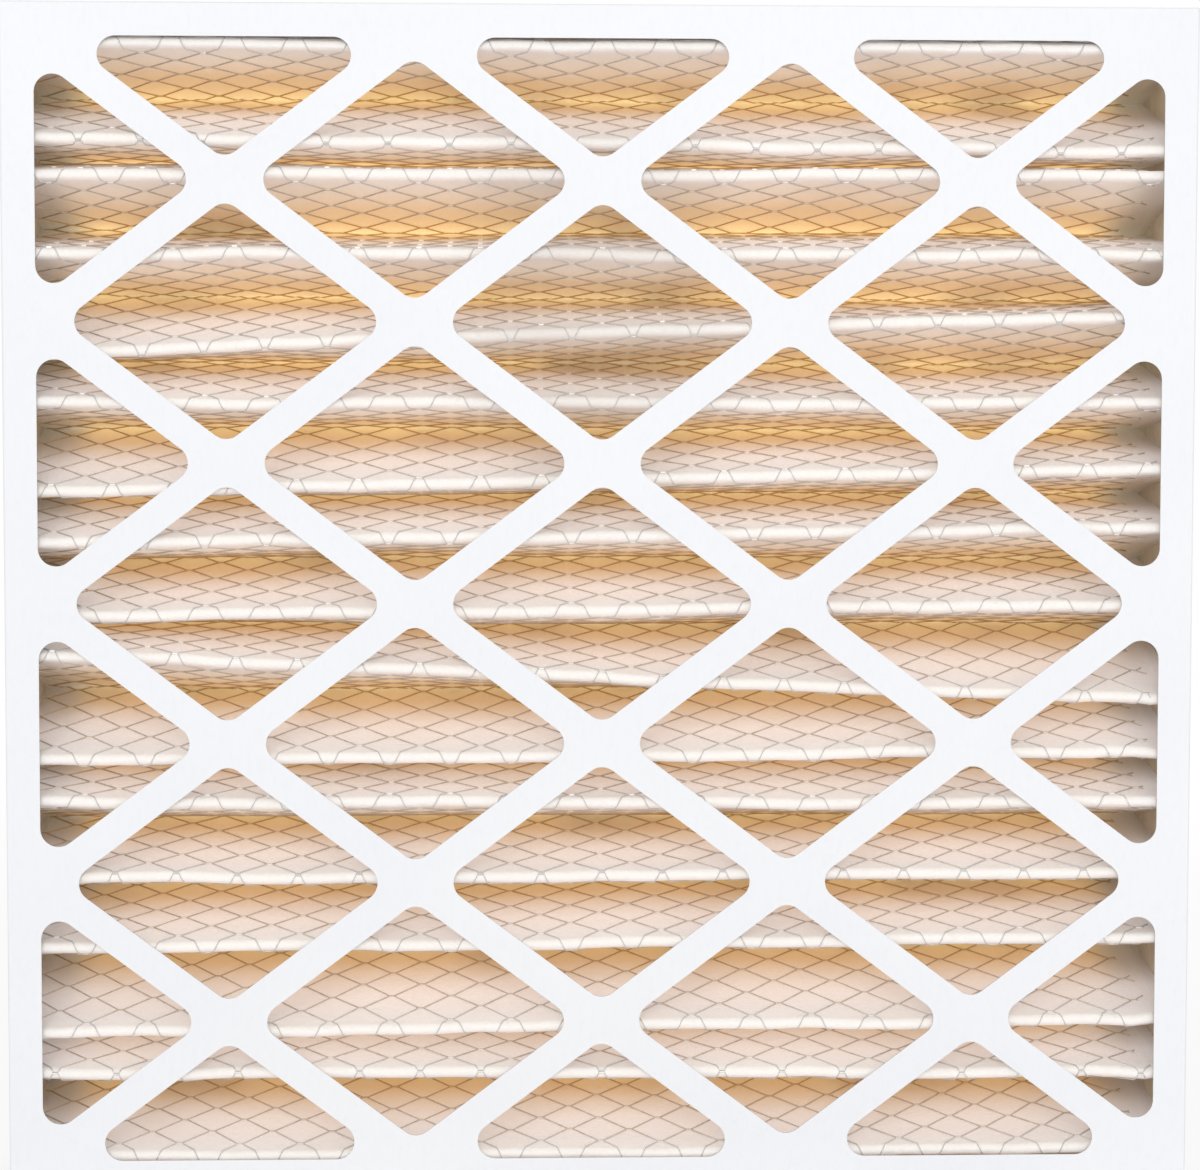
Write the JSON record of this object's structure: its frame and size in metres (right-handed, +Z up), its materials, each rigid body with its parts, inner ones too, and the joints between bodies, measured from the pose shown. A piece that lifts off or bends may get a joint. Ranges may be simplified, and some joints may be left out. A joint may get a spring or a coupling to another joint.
{
  "type": "pleated panel air filter",
  "caption": "Square panel air filter: pleated media backed by expanded metal, held in a folded board frame with a diamond lattice on both faces.",
  "frame": {"origin": "middle of the bottom edge, at mid depth", "axes": "+X to the right seen from the air-leaving face, +Y through the depth from the leaving face to the entering face, +Z up"},
  "size_m": [0.495, 0.095, 0.495],
  "materials": {
    "board": "matt white coated board",
    "media": "nonwoven, loaded with tan dust",
    "mesh": "dull galvanised",
    "adhesive": "satin, cured"
  },
  "bodies": {
    "root": {"front_frame": "board", "rear_frame": "board", "media_pack": "media", "support_mesh": "mesh", "left_seal": "adhesive", "right_seal": "adhesive", "top_bead": "adhesive", "bottom_bead": "adhesive"}
  },
  "joints": []
}
